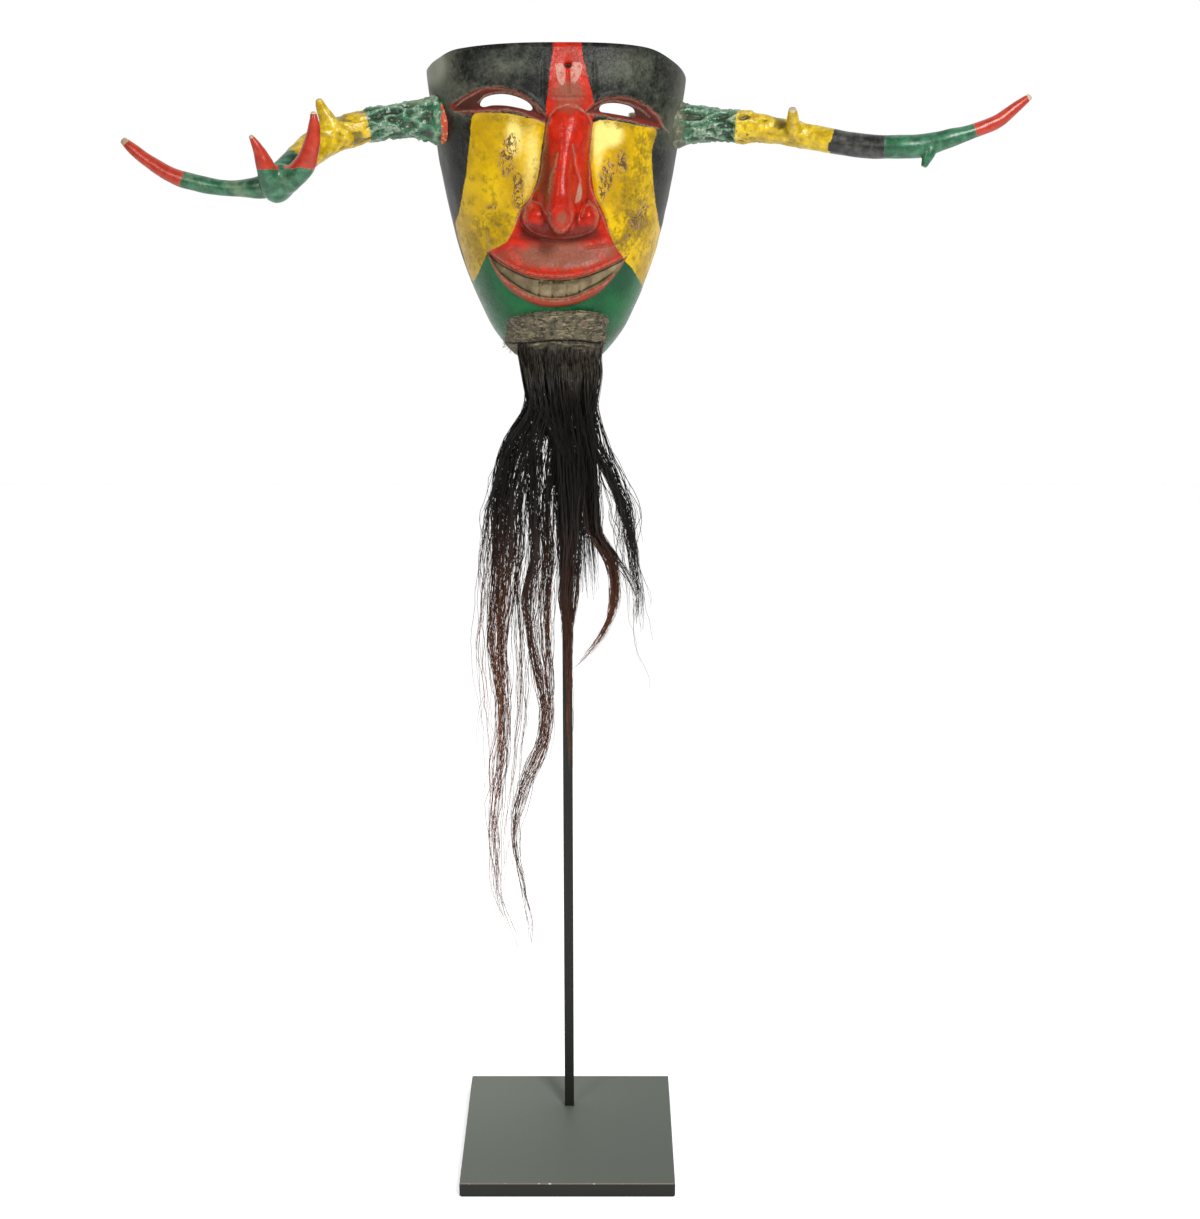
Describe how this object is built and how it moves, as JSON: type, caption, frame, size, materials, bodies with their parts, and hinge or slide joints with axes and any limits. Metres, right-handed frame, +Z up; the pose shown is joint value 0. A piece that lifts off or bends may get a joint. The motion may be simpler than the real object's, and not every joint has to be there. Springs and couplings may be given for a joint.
{
  "type": "horned dance mask on stand",
  "caption": "Carved wooden horned face mask with antlers, a hide chin band and a long hair beard, held on a square-base upright display stand.",
  "frame": {"origin": "centre of the underside of the stand's square base", "axes": "+Z up along the upright, -Y the way the face looks, +X to the viewer's right"},
  "size_m": [0.6631, 0.1939, 0.917],
  "materials": {
    "black_steel": "satin black powder coat with small chips",
    "zinc_screw": "plain zinc",
    "felt": "black felt",
    "rubber": "matte tubing",
    "painted_wood": "worn glossy paint on carved wood",
    "painted_antler": "painted antler, semi-matte",
    "iron_nail": "dull iron",
    "filler_paste": "painted paste",
    "rawhide": "dry fibrous hide",
    "hair": "long dark animal hair"
  },
  "bodies": {
    "stand": {"base_plate": "black_steel", "base_felt": "felt", "stand_rod": "black_steel", "rod_screw": "zinc_screw", "hanger_arm": "black_steel", "hanger_crossbar": "black_steel", "saddle_left": "black_steel", "saddle_right": "black_steel", "saddle_sleeve_left": "rubber", "saddle_sleeve_right": "rubber", "chin_pad": "felt"},
    "mask": {"mask_shell": "painted_wood", "antler_left": "painted_antler", "antler_right": "painted_antler", "antler_nail_left": "iron_nail", "antler_nail_right": "iron_nail", "antler_filler_left": "filler_paste", "antler_filler_right": "filler_paste", "hide_band": "rawhide", "band_tacks": "iron_nail"},
    "beard": {"hide_flap": "rawhide", "hair_core": "hair", "lock_left_outer": "hair", "lock_left_inner": "hair", "lock_middle": "hair", "lock_right": "hair", "lock_right_curl": "hair"}
  },
  "joints": [
    {"name": "mask_lift", "type": "slide", "parent": "stand", "child": "mask", "axis": [0, 0, 1], "range_m": [0, 0.05]},
    {"name": "beard_swing", "type": "hinge", "parent": "mask", "child": "beard", "pos_m": [-0.00051, -0.03476, 0.6962], "axis": [-0.9962, -0.0872, 0], "range_deg": [0, 30]}
  ]
}
